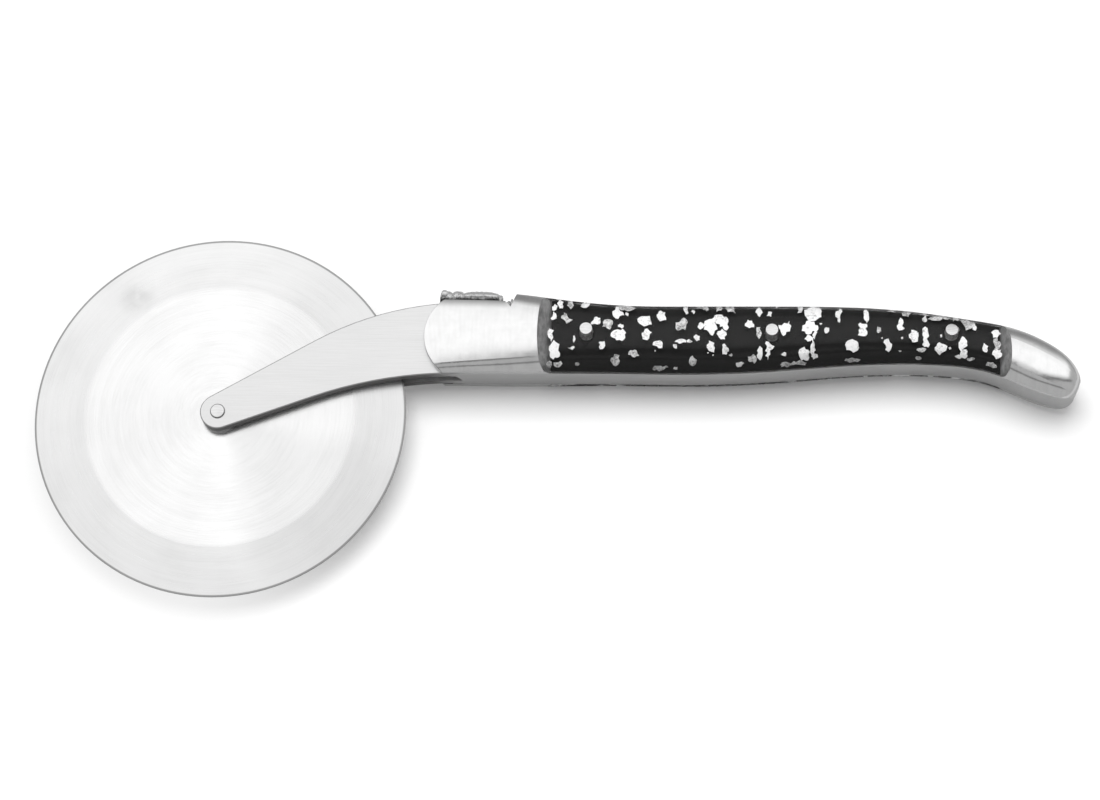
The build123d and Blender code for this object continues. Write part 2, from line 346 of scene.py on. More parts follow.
# %% [markdown]
# The table is a wide sheet of white paper at the level of the handle's lowest point. The
# paper glows a little for the camera, and more so away from the cutter and most at the
# horizon, so that it is pure white everywhere but in the shadow. What the steel shows of it
# is held back to a light grey, and further still beyond the spine, or the flanks would have
# no shape against it. Toward the disc's outer rim a white glow for the camera paints out the
# disc's shadow, because there the photograph has almost no shadow.

# %% White paper under the cutter
PAPER_WHITE = 0.90
PAPER_MOTTLE = 0.02
# How much of the paper the steel shows, near the cutter and beyond the spine
PAPER_IN_STEEL = 0.60
FAR_IN_STEEL = 0.30
BEYOND_SPINE = span(15, 90)
# The glow near the cutter, what is added round it, and what is added at the horizon
PAPER_GLOW = 0.08
FAR_GLOW = 0.30
HORIZON_GLOW = 0.6
GLOW_BELLY = span(14, 60)
GLOW_SPINE = span(45, 90)
GLOW_TAIL = span(190, 240)
GLOW_HORIZON = span(300, 1200)
# How much of the disc's shadow a white glow paints out, and where along X it fades
PAINTED_OUT_RIM_SHADOW = 0.75
RIM_FADE = span(-10, 50)
PAPER_REACH = 6.0
PAPER_GAP = 0.01 * MM
FLOOR_LEVEL = cad_box[0][2] - PAPER_GAP

paper, paper_shader, paper_place = new_material("paper", Roughness=0.9, Specular_IOR_Level=0.1)
tree = paper.node_tree
in_steel = add_node(tree, "ShaderNodeLightPath", out="Is Glossy Ray")
seen = add_node(tree, "ShaderNodeLightPath", out="Is Camera Ray")
seen = seen.most(add_node(tree, "ShaderNodeLightPath", out="Is Transmission Ray"))
fibre = grain(paper_place, 900, detail=3)
along, aside, _ = paper_place.axes()
mirrored = PAPER_IN_STEEL + (FAR_IN_STEEL - PAPER_IN_STEEL) * aside.step(*BEYOND_SPINE)
whiteness = PAPER_WHITE - 0.5 * PAPER_MOTTLE + PAPER_MOTTLE * fibre
whiteness = whiteness * (1 - (1 - mirrored) * in_steel)
feed(paper_shader, Base_Color=greys(whiteness, 0.0, 1.0))
far = (-1.0 * aside).step(*GLOW_BELLY).most(aside.step(*GLOW_SPINE))
far = far.most(along.step(*GLOW_TAIL))
horizon = paper_place.vector("LENGTH", out="Value").step(*GLOW_HORIZON)
strength = seen * (PAPER_GLOW + FAR_GLOW * far + HORIZON_GLOW * horizon)
glow = add_node(tree, "ShaderNodeEmission", Strength=strength)
lit = add_node(tree, "ShaderNodeAddShader")
tree.links.new(paper_shader.outputs[0], lit.socket.node.inputs[0])
tree.links.new(glow.socket, lit.socket.node.inputs[1])
# A white glow that paints out the disc's shadow toward its rim
white = add_node(tree, "ShaderNodeEmission", Strength=1.0)
fade = (1 - along.step(*RIM_FADE)) * seen * PAINTED_OUT_RIM_SHADOW
shown = add_node(tree, "ShaderNodeMixShader", Fac=fade)
tree.links.new(lit.socket, shown.socket.node.inputs[1])
tree.links.new(white.socket, shown.socket.node.inputs[2])
tree.links.new(shown.socket, tree.nodes["Material Output"].inputs["Surface"])

bm = bmesh.new()
corners = ((-1, -1), (1, -1), (1, 1), (-1, 1))
bm.faces.new([bm.verts.new((x * PAPER_REACH, y * PAPER_REACH, FLOOR_LEVEL)) for x, y in corners])
floor = mesh_piece("paper_sheet", bm, paper, smooth=False)
print("floor at", round(FLOOR_LEVEL / MM, 2), "mm")

# %% [markdown]
# The disc is turned and then brushed while it spins, so every brush line is a part of a
# circle. That could be an image, but noise does it without seams: one axis of the noise
# runs along the radius in fine steps, and the other two hold the direction from the axle,
# scaled so low that a streak runs on for a good part of a turn. The same lines make
# highlights fan out from the axle, which the shader's anisotropy gives. Its own tangent
# already runs in circles round the vertical through the middle of a piece.

# %% Disc steel
DISC_RADIUS = 40 * MM
BEVEL_START = 29.2 * MM
BEVEL_EDGE = (BEVEL_START - 1.2 * MM, BEVEL_START + 0.6 * MM)
# The rim's dark line is painted shade, where the edge would mirror the darker room
RIM_EDGE = (DISC_RADIUS - 0.55 * MM, DISC_RADIUS - 0.25 * MM)
DISC_FACE = 0.6 * MM
# A grey patch on the face by the bevel is a painted reflection
PAINTED_REFLECTION_PLACE = pixel_on_level(137, 297, DISC_FACE)
PAINTED_REFLECTION_SIZE = span(0.8, 5.5)
BEVEL_SHADE, PAINTED_REFLECTION_SHADE, RIM_PAINTED_SHADE = 0.06, 0.16, 0.60
# Direction in degrees, width and shade of each faint sector of painted shade,
# where the brushed disc's reflection looks darker
PAINTED_FANS = ((-42, 0.22, 0.10), (42, 0.16, 0.06))
FLAT = (1, 1, 0)

disc_steel, shader, place = new_material("disc_steel", Metallic=1.0, Anisotropic=0.5)
flat = place.vector("MULTIPLY", FLAT)
radius = flat.vector("LENGTH", out="Value")
direction = flat.vector("NORMALIZE")


def turned_lines(across, around):
    """Noise in rings: cells per metre across the rings, and cells round a turn."""
    x, y, _ = direction.vector("SCALE", Scale=around).axes()
    cell = place.node("ShaderNodeCombineXYZ", X=x, Y=y, Z=radius * across)
    return grain(cell, 1.0, detail=3.0, roughness=0.6)


def fan(degrees, width):
    """A soft sector round the axle, 1 in its middle."""
    facing = (math.cos(math.radians(degrees)), math.sin(math.radians(degrees)), 0)
    return direction.vector("DOT_PRODUCT", facing, out="Value").step(1 - width, 1.0)


fine_lines = turned_lines(6500, 3.2)
broad_lines = turned_lines(900, 1.6)
cloud = grain(place, 70, detail=4)
bevel = radius.step(*BEVEL_EDGE)
# Painted shade along the rim
rim = radius.step(*RIM_EDGE)
# Painted reflection: a soft grey patch on the face
painted_reflection = place.vector("DISTANCE", tuple(PAINTED_REFLECTION_PLACE), out="Value")
painted_reflection = (1 - painted_reflection.step(*PAINTED_REFLECTION_SIZE)) * grain(place, 240, detail=4).step(0.30, 0.62)
shade = 0.36 * fine_lines + 0.24 * broad_lines + 0.40 * cloud
whiteness = 0.84 + 0.12 * shade.step(0.30, 0.62)
for mask, darker in ((bevel, BEVEL_SHADE), (painted_reflection, PAINTED_REFLECTION_SHADE), (rim, RIM_PAINTED_SHADE)):
    whiteness = whiteness * (1 - darker * mask)
# Painted shade in faint sectors round the axle
for degrees, width, darker in PAINTED_FANS:
    whiteness = whiteness * (1 - darker * fan(degrees, width))
feed(
    shader,
    Base_Color=greys(whiteness, 0.0, 1.0),
    Roughness=0.20 + 0.10 * fine_lines + 0.04 * bevel,
    Normal=relief(0.7 * fine_lines + 0.3 * broad_lines, 0.0015 * MM),
)
wear(disc_steel, "cutting_wheel")
print("bevel from", round(BEVEL_START / MM, 1), "mm out")
print("wipe mark at", [round(v / MM) for v in PAINTED_REFLECTION_PLACE])

# %% [markdown]
# The brass bush and the two washers hide in the fork, but they show from the side and when
# the disc is taken off the table. The bush is turned, so its lines run round the axle. The
# washers are stamped, with a dull mottled face. The rivets are ground nearly flush. Only
# the axle's bright head gets a darker ring of painted shade, where its edge rolls over.

# %% Bush, washer and rivet finishes
BRASS_DARK = (0.52, 0.36, 0.14, 1)
BRASS_LIGHT = (0.78, 0.60, 0.30, 1)
RIVET_RING = span(1.34, 1.46)
# How dark the ring of painted shade on the axle's head is
RING_PAINTED_SHADE = 0.62
PIT_SHADE = 0.5

bush_brass, shader, place = new_material("bush_brass", Metallic=1.0, Anisotropic=0.4)
tarnish = grain(place, 900, detail=3)
feed(
    shader,
    Base_Color=mixed(tarnish, BRASS_DARK, BRASS_LIGHT),
    Roughness=0.22 + 0.2 * tarnish,
    Normal=relief(grain(place, (300, 300, 9000)), 0.004 * MM),
)
wear(bush_brass, "wheel_bush")

washer_steel, shader, place = new_material("washer_steel", Metallic=1.0)
mottle = grain(place, 1500, detail=4)
feed(
    shader,
    Base_Color=greys(mottle, 0.42, 0.66),
    Roughness=0.34 + 0.2 * mottle,
    Normal=relief(mottle, 0.01 * MM),
)
wear(washer_steel, "front_washer", "back_washer")


def ground_steel(name, painted_ring):
    """Steel ground flush, with or without a ring of painted shade where the head rolls over."""
    material, shader, place = new_material(name, Metallic=1.0)
    scratch = grain(place, (500, 4200, 4200), detail=3)
    pits = grain(place, 2600, detail=2).step(0.62, 0.75)
    tone = greys(scratch.step(0.25, 0.75) * (1 - PIT_SHADE * pits), 0.74, 0.94)
    if painted_ring:
        # Painted shade: a dark ring where the head's edge rolls over
        ring = place.vector("MULTIPLY", FLAT).vector("LENGTH", out="Value").step(*RIVET_RING)
        tone = tone.vector("SCALE", Scale=1 - RING_PAINTED_SHADE * ring)
    normal = relief(scratch, 0.004 * MM)
    feed(shader, Base_Color=tone, Roughness=0.24 + 0.16 * scratch, Normal=normal)
    return material


wear(ground_steel("axle_steel", True), "axle_rivet")
wear(
    ground_steel("rivet_steel", False), "fore_scale_pin", "middle_scale_pin", "aft_scale_pin",
    "lower_collar_rivet", "upper_collar_rivet", "tail_rivet",
)

# %% [markdown]
# The fork's plates are brushed lengthwise, from the rivet to the tail. Long thin cells of
# noise along X give the lines: a hundred times finer across than along. A second, slower
# noise makes some stretches duller, as hand work with a belt does. The plates' narrow edges
# face the dark low part of the room, and along the free arm they are nearly black in the
# photograph, so their colour is darkened as painted shade, most along the free arm. Which
# way a surface faces tells an edge from a broad side.

# %% Fork steel
# Painted shade on the plates' narrow edges, and more of it along the free arm
PAINTED_EDGE_SHADE = 0.24
PAINTED_ARM_SHADE = 0.56
ARM_END = span(44, 52)
# A surface is an edge where the square of its normal's share along the axle is below this
EDGE_FACING = (0.2, 0.8)
SPECK_SHADE = 0.30

fork_steel, shader, place = new_material("fork_steel", Metallic=1.0)
lines = grain(place, (110, 5200, 5200), detail=3, roughness=0.6)
dull = grain(place, (60, 260, 260), detail=3)
specks = grain(place, 1900, detail=3).step(0.66, 0.80)
tone = (0.65 * lines + 0.35 * dull).step(0.28, 0.72) * (1 - SPECK_SHADE * specks)
_, _, facing = place.node("ShaderNodeTexCoord", out="Normal").axes()
edge = 1 - (facing * facing).step(*EDGE_FACING)
along, _, _ = place.axes()
# Painted shade: darker edges, darkest along the free arm
dark = edge * (PAINTED_EDGE_SHADE + PAINTED_ARM_SHADE * (1 - along.step(*ARM_END)))
feed(
    shader,
    Base_Color=greys(tone, 0.79, 0.91).vector("SCALE", Scale=1 - dark),
    Roughness=0.24 + 0.16 * lines + 0.06 * dull,
    Normal=relief(lines, 0.006 * MM),
)
wear(fork_steel, "front_fork_plate", "back_fork_plate", "handle_spacer")

# %% [markdown]
# Collars and tail caps are ground together with the handle and left with a fine satin. In
# the photograph they are nearly white on the crown with a faint mottle that runs across
# the handle, so the noise cells here are long along Y and short along X. Two places get
# painted shade: a painted shadow on the collars' top under the bee, and a dark painted line
# where the collar's nose meets the liner on the belly side. The bee's seat and its upward
# direction are in millimetres.

# %% Fitting steel
BEE_SEAT = Vector((46.4, 24.7, 0))
BEE_UP = Vector((0.6, 14.6, 0)).normalized()
# Painted shadow under the bee: how dark, where it rises and where it ends
PAINTED_BEE_SHADOW = 0.60
BEE_SHADE_RISE = span(-2.1, 0.2)
BEE_SHADE_END = span(60.5, 63.0)
# Painted shade along the line where the collar's nose meets the liner
PAINTED_SEAM_SHADE = 0.85
FOOT_LEVEL = span(3.55, 4.0)
FOOT_ALONG = span(50, 54)
FOOT_ASIDE = span(9, 15)

fitting_steel, shader, place = new_material("fitting_steel", Metallic=1.0)
across = grain(place, (1500, 160, 160), detail=4, roughness=0.65)
lengthwise = grain(place, (120, 2600, 2600), detail=3)
cloud = grain(place, 420, detail=4)
tone = (0.40 * across + 0.12 * lengthwise + 0.48 * cloud).step(0.30, 0.70)
over_seat = place.vector("SUBTRACT", tuple(BEE_SEAT * MM))
over_seat = over_seat.vector("DOT_PRODUCT", tuple(BEE_UP), out="Value")
along, aside, level = place.axes()
# Painted shadow on the collars' top under the bee
bee_shadow = over_seat.step(*BEE_SHADE_RISE) * (1 - along.step(*BEE_SHADE_END))
# Painted shade in the crevice at the collar's nose
foot = 1 - (level * level).step(FOOT_LEVEL[0] ** 2, FOOT_LEVEL[1] ** 2)
foot = foot * (1 - along.step(*FOOT_ALONG)) * (1 - aside.step(*FOOT_ASIDE))
lit_share = (1 - PAINTED_BEE_SHADOW * bee_shadow) * (1 - PAINTED_SEAM_SHADE * foot)
feed(
    shader,
    Base_Color=greys(tone, 0.82, 0.91).vector("SCALE", Scale=lit_share),
    Roughness=0.08 + 0.06 * across + 0.05 * lengthwise,
    Normal=relief(0.6 * across + 0.4 * lengthwise, 0.003 * MM),
)
wear(fitting_steel, "front_collar", "back_collar", "front_tail_cap", "back_tail_cap")

# %% [markdown]
# The scales are cast in clear resin over a dark ground, with torn silver leaf in it. The
# CAD scale is the right shell, so it stays and turns clear. Real glass would need its
# light bent through many layers, which stays noisy for a long time. A polished clear coat
# shows its surroundings by Fresnel's law and is empty otherwise. So here the surface is a
# bright mirror whose alpha is the Fresnel share: faint when seen squarely, strong when
# seen along the surface.

# %% The clear shell of the scales
RESIN_IOR = 1.30

clear_resin, shader, place = new_material("clear_resin", Metallic=1.0, Base_Color=grey(1.0))
share = place.node("ShaderNodeFresnel", IOR=RESIN_IOR)
swirl = grain(place, (240, 1100, 1100), detail=3)
feed(shader, Alpha=share, Roughness=0.03 + 0.05 * swirl, Normal=relief(swirl, 0.003 * MM))
wear(clear_resin, "front_scale", "back_scale")
squarely = ((RESIN_IOR - 1) / (RESIN_IOR + 1)) ** 2
print("seen squarely, the resin mirrors", round(100 * squarely, 1), "percent")

# %% [markdown]
# Under the clear layer lies the dark ground. It follows the scale's own form, set in from
# its surface, so a copy of the scale's mesh is moved inward along its normals and pressed
# down toward the liner. At both ends it is cut off upright, where the steel's sloping wall
# begins, because there the clear resin alone covers the slope. Around each pin a pocket
# stays clear, so the pin's shank shows below its head.

# %% Helpers for the dark ground
PIN_PLACES = ((78.45, 17.64), (117.9, 17.5), (155.82, 17.8))
POCKET_RADIUS = 1.42 * MM
POCKET_REACH = 1.5 * MM
POCKET_FLOOR = 3.75 * MM
POCKET_TOP = 9 * MM
POCKET_STEPS = 24
JOIN_DISTANCE = 0.001 * MM

dark_ground, shader, place = new_material("dark_ground", Specular_IOR_Level=0.15)
haze = grain(place, 380, detail=4)
feed(shader, Base_Color=greys(haze, 0.004, 0.010), Roughness=0.45 + 0.2 * haze)


def side_of(name):
    """+1 for a piece on the front face, -1 for its twin on the back."""
    return 1 if name.startswith("front") else -1


def scale_bmesh(name):
    """A copy of a scale's mesh with its doubled points joined."""
    bm = bmesh.new()
    bm.from_mesh(nodes[name].data)
    bmesh.ops.remove_doubles(bm, verts=bm.verts, dist=JOIN_DISTANCE)
    bm.normal_update()
    return bm


def pocket_prism(bm, middle, side):
    """An upright slot round a pin that reaches toward the belly."""
    x, y = middle[0] * MM, middle[1] * MM
    outline = []
    for step in range(POCKET_STEPS + 1):
        angle = math.pi * step / POCKET_STEPS
        outline.append((x + POCKET_RADIUS * math.cos(angle), y + POCKET_RADIUS * math.sin(angle)))
    for step in range(1, POCKET_STEPS):
        angle = math.pi + math.pi * step / POCKET_STEPS
        below = y - POCKET_REACH + POCKET_RADIUS * math.sin(angle)
        outline.append((x + POCKET_RADIUS * math.cos(angle), below))
    low = [bm.verts.new((px, py, side * POCKET_FLOOR)) for px, py in outline]
    high = [bm.verts.new((px, py, side * POCKET_TOP)) for px, py in outline]
    bm.faces.new(low)
    bm.faces.new(high)
    skin_rings(bm, [low, high])
    bmesh.ops.recalc_face_normals(bm, faces=bm.faces)


def cut_away(piece, cutter_bm):
    """Takes a solid out of a piece and keeps the result as its mesh."""
    cutter = mesh_piece("cutter", cutter_bm, dark_ground)
    modifier = piece.modifiers.new("pockets", "BOOLEAN")
    modifier.operation = "DIFFERENCE"
    modifier.solver = "EXACT"
    modifier.object = cutter
    view = bpy.context.evaluated_depsgraph_get()
    mesh = bpy.data.meshes.new_from_object(piece.evaluated_get(view))
    piece.modifiers.clear()
    old = piece.data
    piece.data = mesh
    bpy.data.meshes.remove(old)
    bpy.data.objects.remove(cutter)


print("dark ground keeps clear of", len(PIN_PLACES), "pins")

# %% [markdown]
# Each ground is made from its scale's mesh in this order: every point moves inward, its
# height over the liner shrinks, both ends are cut off upright, and last one boolean takes
# out the pockets.

# %% Dark ground of the scales
PLATE_FACE = 3.5 * MM
GROUND_LIFT = 0.02 * MM
GROUND_INSET = 0.38 * MM
GROUND_SHARE = 0.62
JOINT_FEET = span(71.0, 165.9)
CUT_DISTANCE = 0.0005 * MM


def dark_core(name):
    """The dark ground inside one scale."""
    side = side_of(name)
    bm = scale_bmesh(name)
    for vert in bm.verts:
        vert.co -= vert.normal * GROUND_INSET
        height = side * vert.co.z - PLATE_FACE
        vert.co.z = side * (PLATE_FACE + GROUND_LIFT + max(height, 0) * GROUND_SHARE)
    for foot, facing in zip(JOINT_FEET, (-1, 1)):
        cut = bmesh.ops.bisect_plane(
            bm, geom=bm.verts[:] + bm.edges[:] + bm.faces[:], dist=CUT_DISTANCE,
            plane_co=(foot, 0, 0), plane_no=(facing, 0, 0), clear_outer=True,
        )
        edges = [e for e in cut["geom_cut"] if isinstance(e, bmesh.types.BMEdge)]
        bmesh.ops.holes_fill(bm, edges=edges, sides=0)
    piece = mesh_piece(name.replace("scale", "scale_ground"), bm, dark_ground)
    cutter = bmesh.new()
    for pin in PIN_PLACES:
        pocket_prism(cutter, pin, side)
    cut_away(piece, cutter)
    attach(piece, "handle")
    print(piece.name, "has", len(piece.data.polygons), "faces")


for name in ("front_scale", "back_scale"):
    dark_core(name)

# %% [markdown]
# Where the resin meets the steel's sloping wall, the two are glued, and the glue shows
# through as a mottled grey strip. It is a film on the scale's own end faces: these are the
# faces whose normal leans along the handle and down, so they are picked by their normals
# and moved a little into the resin.

# %% Glue at the ends of the scales
GLUE_INSET = 0.04 * MM
LEANS_ALONG = 0.5
LEANS_DOWN = 0.3

glue_grey, shader, place = new_material("glue_grey", Metallic=0.6)
streak = grain(place, (700, 500, 900), detail=5, roughness=0.7)
lump = grain(place, 260, detail=4)
tone = (0.55 * streak + 0.45 * lump).step(0.32, 0.68)
feed(
    shader,
    Base_Color=greys(tone, 0.28, 0.74),
    Roughness=0.45 + 0.25 * streak,
    Normal=relief(streak, 0.03 * MM),
)


def glue_film(name):
    """The film on both sloping ends of one scale."""
    side = side_of(name)
    bm = scale_bmesh(name)

    def on_slope(normal):
        return abs(normal.x) > LEANS_ALONG and side * normal.z < -LEANS_DOWN

    others = [face for face in bm.faces if not on_slope(face.normal)]
    bmesh.ops.delete(bm, geom=others, context="FACES")
    for vert in bm.verts:
        vert.co -= vert.normal * GLUE_INSET
    piece = mesh_piece(name.replace("scale", "scale_glue"), bm, glue_grey)
    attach(piece, "handle")
    print(piece.name, "has", len(piece.data.polygons), "faces")


for name in ("front_scale", "back_scale"):
    glue_film(name)

# %% [markdown]
# Seen from the belly side, each pin shows a grey shank below its bright head. The steel of
# the shank itself only mirrors the dark pocket, so what one sees is the glue drawn up
# round it. It is a thin sleeve that flares where it meets the liner. A ray from outside
# finds the scale's surface beside each pin, and the sleeve hangs from there.

# %% Glue sleeves round the pins
# Radius and drop below the scale's surface, then radius and level, all in millimetres
SLEEVE_PROFILE = ((1.345, -0.22), (1.36, -1.2), (1.37, -2.4))
SLEEVE_FOOT = ((1.40, 3.95), (1.52, 3.72), (1.72, 3.54))
SLEEVE_SIDES = 40
PROBE_BESIDE = 1.6
PROBE_HEIGHT = 20

sleeve_glue, shader, place = new_material("sleeve_glue", Specular_IOR_Level=0.3)
streak = grain(place, (1400, 1400, 500), detail=4, roughness=0.7)
tone = greys(streak.step(0.30, 0.66), 0.42, 0.95)
feed(shader, Base_Color=tone, Roughness=0.5 + 0.2 * streak)


def surface_of(name):
    """A scale's surface, for rays and nearest points."""
    return BVHTree.FromObject(nodes[name], bpy.context.evaluated_depsgraph_get())


def pin_sleeves(name, surface):
    """A sleeve of glue round each pin of one scale."""
    side = side_of(name)
    bm = bmesh.new()
    for x, y in PIN_PLACES:
        probe = Vector((x + PROBE_BESIDE, y, side * PROBE_HEIGHT)) * MM
        top = surface.ray_cast(probe, Vector((0, 0, -side)))[0].z * side / MM
        profile = [(radius, top + drop) for radius, drop in SLEEVE_PROFILE] + list(SLEEVE_FOOT)
        rings = []
        for radius, level in profile:
            ring = []
            for step in range(SLEEVE_SIDES):
                angle = math.tau * step / SLEEVE_SIDES
                point = (x + radius * math.cos(angle), y + radius * math.sin(angle), side * level)
                ring.append(bm.verts.new(Vector(point) * MM))
            rings.append(ring)
        skin_rings(bm, rings)
    bmesh.ops.recalc_face_normals(bm, faces=bm.faces)
    piece = mesh_piece(name.replace("scale", "pin_glue"), bm, sleeve_glue)
    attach(piece, "handle")
    print(piece.name, "has", len(piece.data.polygons), "faces")


front_surface = surface_of("front_scale")
back_surface = surface_of("back_scale")
pin_sleeves("front_scale", front_surface)
pin_sleeves("back_scale", back_surface)

# %% [markdown]
# The leaf is torn and crumpled metal foil, so each piece is a ragged polygon with a few
# inner points lifted out of plane. The pieces that the photograph shows are listed one by
# one: each row below gives the middle of a piece and its size in pixels, and whether it
# looks bright or grey.

# %% Which pieces of leaf the photograph shows
BRIGHT, SHADED = 0, 1
# Middle across, middle down, width and height. A row without a look is a bright piece,
# and a grey piece takes the painted-shade copy of the leaf
LEAF_PIECES = (
    (555, 307, 7, 7), (561, 305, 7, 9), (570, 304, 7, 9, SHADED), (554, 316, 6, 11),
    (567, 318, 10, 11, SHADED), (586, 304, 11, 7), (596, 321, 11, 9), (551, 335, 6, 13),
    (555, 350, 12, 20), (558, 364, 10, 6, SHADED), (549, 364, 7, 7, SHADED), (574, 339, 3, 7),
    (572, 348, 7, 4), (602, 345, 7, 10), (577, 364, 5, 4, SHADED), (619, 313, 11, 16),
    (628, 306, 22, 8, SHADED), (627, 314, 4, 5), (608, 324, 11, 11, SHADED), (618, 334, 15, 13),
    (621, 326, 7, 5), (645, 321, 13, 12), (662, 316, 11, 10), (646, 335, 11, 13),
    (658, 344, 10, 9), (634, 354, 12, 7, SHADED), (615, 360, 10, 12, SHADED), (660, 368, 17, 5, SHADED),
    (676, 368, 7, 3), (682, 324, 12, 14, SHADED), (681, 341, 11, 5), (689, 341, 6, 4),
    (675, 346, 4, 6), (697, 338, 7, 7), (687, 309, 6, 11), (693, 312, 4, 4),
    (706, 308, 8, 8, SHADED), (719, 308, 8, 8, SHADED), (731, 309, 11, 10, SHADED), (711, 326, 12, 17),
    (701, 326, 6, 7), (722, 320, 15, 13), (722, 335, 10, 10), (711, 346, 10, 13),
    (724, 349, 6, 13), (693, 361, 7, 10, SHADED), (726, 325, 5, 14), (726, 349, 5, 8, SHADED),
    (731, 355, 4, 3, SHADED), (759, 312, 7, 10), (770, 314, 8, 6), (777, 307, 4, 4),
    (749, 324, 10, 10), (759, 332, 6, 12, SHADED), (785, 327, 12, 15), (770, 350, 12, 17),
    (760, 353, 6, 13), (752, 359, 9, 10, SHADED), (740, 364, 11, 6), (784, 354, 5, 5),
    (793, 364, 33, 6, SHADED), (812, 313, 17, 17), (800, 309, 6, 10), (810, 328, 18, 13),
    (810, 338, 10, 7), (815, 335, 5, 9), (813, 347, 6, 17), (805, 353, 11, 14), (814, 356, 7, 6),
    (821, 324, 3, 3), (827, 330, 5, 7), (839, 315, 7, 16), (849, 307, 3, 5), (866, 316, 6, 13),
    (863, 329, 13, 18), (852, 346, 13, 16), (879, 330, 6, 7, SHADED), (888, 346, 9, 14),
    (852, 360, 16, 5, SHADED), (900, 351, 3, 2), (882, 338, 2, 2), (902, 338, 3, 3),
    (907, 313, 12, 9, SHADED), (901, 325, 10, 14), (914, 336, 8, 14), (926, 337, 6, 22),
    (925, 318, 5, 8, SHADED), (940, 317, 23, 8, SHADED), (957, 331, 5, 8), (956, 319, 8, 6, SHADED),
    (968, 324, 16, 11, SHADED), (974, 327, 5, 7), (963, 344, 10, 14), (964, 354, 8, 11),
    (959, 357, 8, 5), (970, 359, 8, 3, SHADED), (941, 349, 13, 11), (950, 348, 4, 3),
    (941, 336, 3, 4), (918, 358, 7, 4, SHADED), (921, 350, 10, 4, SHADED), (985, 348, 6, 9),
    (996, 334, 12, 9), (997, 345, 9, 12, SHADED), (997, 354, 9, 12), (991, 365, 12, 6, SHADED),
    (655, 351, 2, 2), (708, 353, 2, 2), (713, 355, 2, 2),
)
# The same for slivers on the back scale, which show below the liner
BACK_PIECES = (
    (566, 383, 26, 3), (697, 384, 8, 2, SHADED), (791, 381, 9, 2, SHADED), (903, 375, 17, 2),
    (933, 376, 13, 2), (955, 378, 10, 2),
)
print(len(LEAF_PIECES), "pieces of leaf in front and", len(BACK_PIECES), "on the back")

# %% [markdown]
# Foil catches light in its folds, and here that light and shade is painted into its colour:
# one finish with sharp steps between dark and light serves the bright pieces, and a softer,
# darker one, a painted-shade copy of the same foil, the pieces that look grey. A torn outline
# is a few straight tears with small teeth on them.

# %% How a piece of leaf looks
LEAF_CRUMPLE = 0.05 * MM
# Pieces whose width and height add up to less than this have four corners
SMALL_PIECE = 8
TURN_JITTER = 0.3
REACH_RANGE = (0.82, 1.28)
TOOTH = 0.16
TOOTH_SPACING = 3
LONGEST_TEAR = 12
INNER_RANGE = (0.40, 0.62)


def leaf_finish(name, dark, light, low, high):
    """Crumpled foil, with painted light and shade from dark folds to light ones."""
    material, shader, place = new_material(name, Metallic=0.35)
    fold = grain(place, 2600, detail=5, roughness=0.7)
    patch = grain(place, 700, detail=3)
    tone = (0.6 * fold + 0.4 * patch).step(low, high)
    feed(
        shader,
        Base_Color=greys(tone, dark, light),
        Roughness=0.30 + 0.3 * patch,
        Normal=relief(fold, 0.05 * MM),
    )
    return material


# The bright leaf, and its painted-shade copy for pieces that look grey
leaf_bright = leaf_finish("leaf_bright", 0.30, 0.96, 0.31, 0.50)
leaf_shaded = leaf_finish("leaf_shaded", 0.16, 0.88, 0.34, 0.62)


def ragged(rng, wide, high):
    """Corners of a torn piece round its middle: a few straight tears with small teeth."""
    count = rng.choice((4, 5, 5, 6)) if wide + high > SMALL_PIECE else 4
    start = rng.random() * math.tau
    mains = []
    for corner in range(count):
        angle = start + math.tau * (corner + rng.uniform(-TURN_JITTER, TURN_JITTER)) / count
        reach = rng.uniform(*REACH_RANGE)
        right = 0.5 * wide * reach * math.cos(angle)
        below = 0.5 * high * reach * math.sin(angle)
        mains.append(Vector((right, below)))
    corners = []
    for one, two in zip(mains, mains[1:] + mains[:1]):
        teeth = 1 + int(min((two - one).length, LONGEST_TEAR) / TOOTH_SPACING)
        for tooth in range(teeth):
            jag = rng.uniform(-TOOTH, TOOTH) * (one - two).length if tooth else 0
            across = Vector((one.y - two.y, two.x - one.x)).normalized()
            point = one.lerp(two, tooth / teeth) + across * jag
            corners.append((point.x, point.y))
    return corners


def add_leaf(bm, rng, ring, middle, inward, look):
    """One crumpled piece from its corner points and its middle."""
    def crumpled(point, amount):
        return bm.verts.new(point + inward * (amount * LEAF_CRUMPLE * rng.uniform(-1, 1)))

    outer = [crumpled(point, 0.7) for point in ring]
    inner = [crumpled(middle.lerp(point, rng.uniform(*INNER_RANGE)), 1.0) for point in ring]
    centre = crumpled(middle, 0.8)
    for one in range(len(ring)):
        two = (one + 1) % len(ring)
        bm.faces.new((outer[one], outer[two], inner[two])).material_index = look
        bm.faces.new((outer[one], inner[two], inner[one])).material_index = look
        bm.faces.new((inner[one], inner[two], centre)).material_index = look


print("leaf crumples by", round(LEAF_CRUMPLE / MM, 3), "mm")

# %% [markdown]
# Every corner of a piece is carried along the camera's line of sight onto the scale and
# sunk a little into the resin, so that the piece lies in the scale from any side. A corner
# whose line of sight misses the scale is drawn in toward the middle until it meets it.
# Nine depths, one after the other, keep overlapping pieces apart.

# %% Leaf where the photograph shows it
LEAF_SEED = 7
LEAF_DEPTH = 0.14 * MM
LEAF_DEPTH_STEP = 0.018 * MM
LEAF_LAYERS = 9
LEAF_REACH = 3 * MM
SHRINKS = (1.0, 0.8, 0.6, 0.4, 0.2)


def on_scale(surface, across, down):
    """Where a pixel's line of sight meets a scale, and that line."""
    ray = pixel_ray(across, down)
    hit = surface.ray_cast(CAMERA_PLACE, ray)[0]
    return hit, ray


